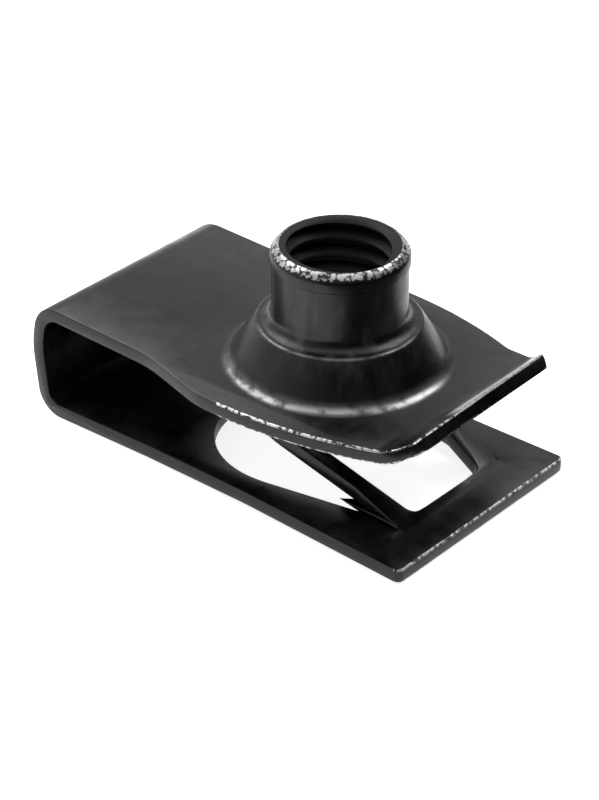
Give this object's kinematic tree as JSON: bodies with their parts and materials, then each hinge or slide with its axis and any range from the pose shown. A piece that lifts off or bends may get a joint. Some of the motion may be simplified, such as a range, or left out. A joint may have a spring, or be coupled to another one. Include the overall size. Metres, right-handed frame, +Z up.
{
  "type": "u clip speed nut",
  "caption": "Folded spring-steel U clip whose upper leaf carries a drawn, tapped barrel and whose lower leaf carries a lanced retaining tongue; slides on a panel edge to take a screw.",
  "frame": {"origin": "on the screw's axis, where the thread begins at the lower end of the barrel", "axes": "+Z up the barrel, away from the panel; +X from the fold to the mouth; Y across the strip"},
  "size_m": [0.0332, 0.0198, 0.0168],
  "materials": {
    "spring_steel": "black phosphate and oil, semi-gloss, bright worn edges"
  },
  "bodies": {
    "root": {"u_clip": "spring_steel"}
  },
  "joints": []
}
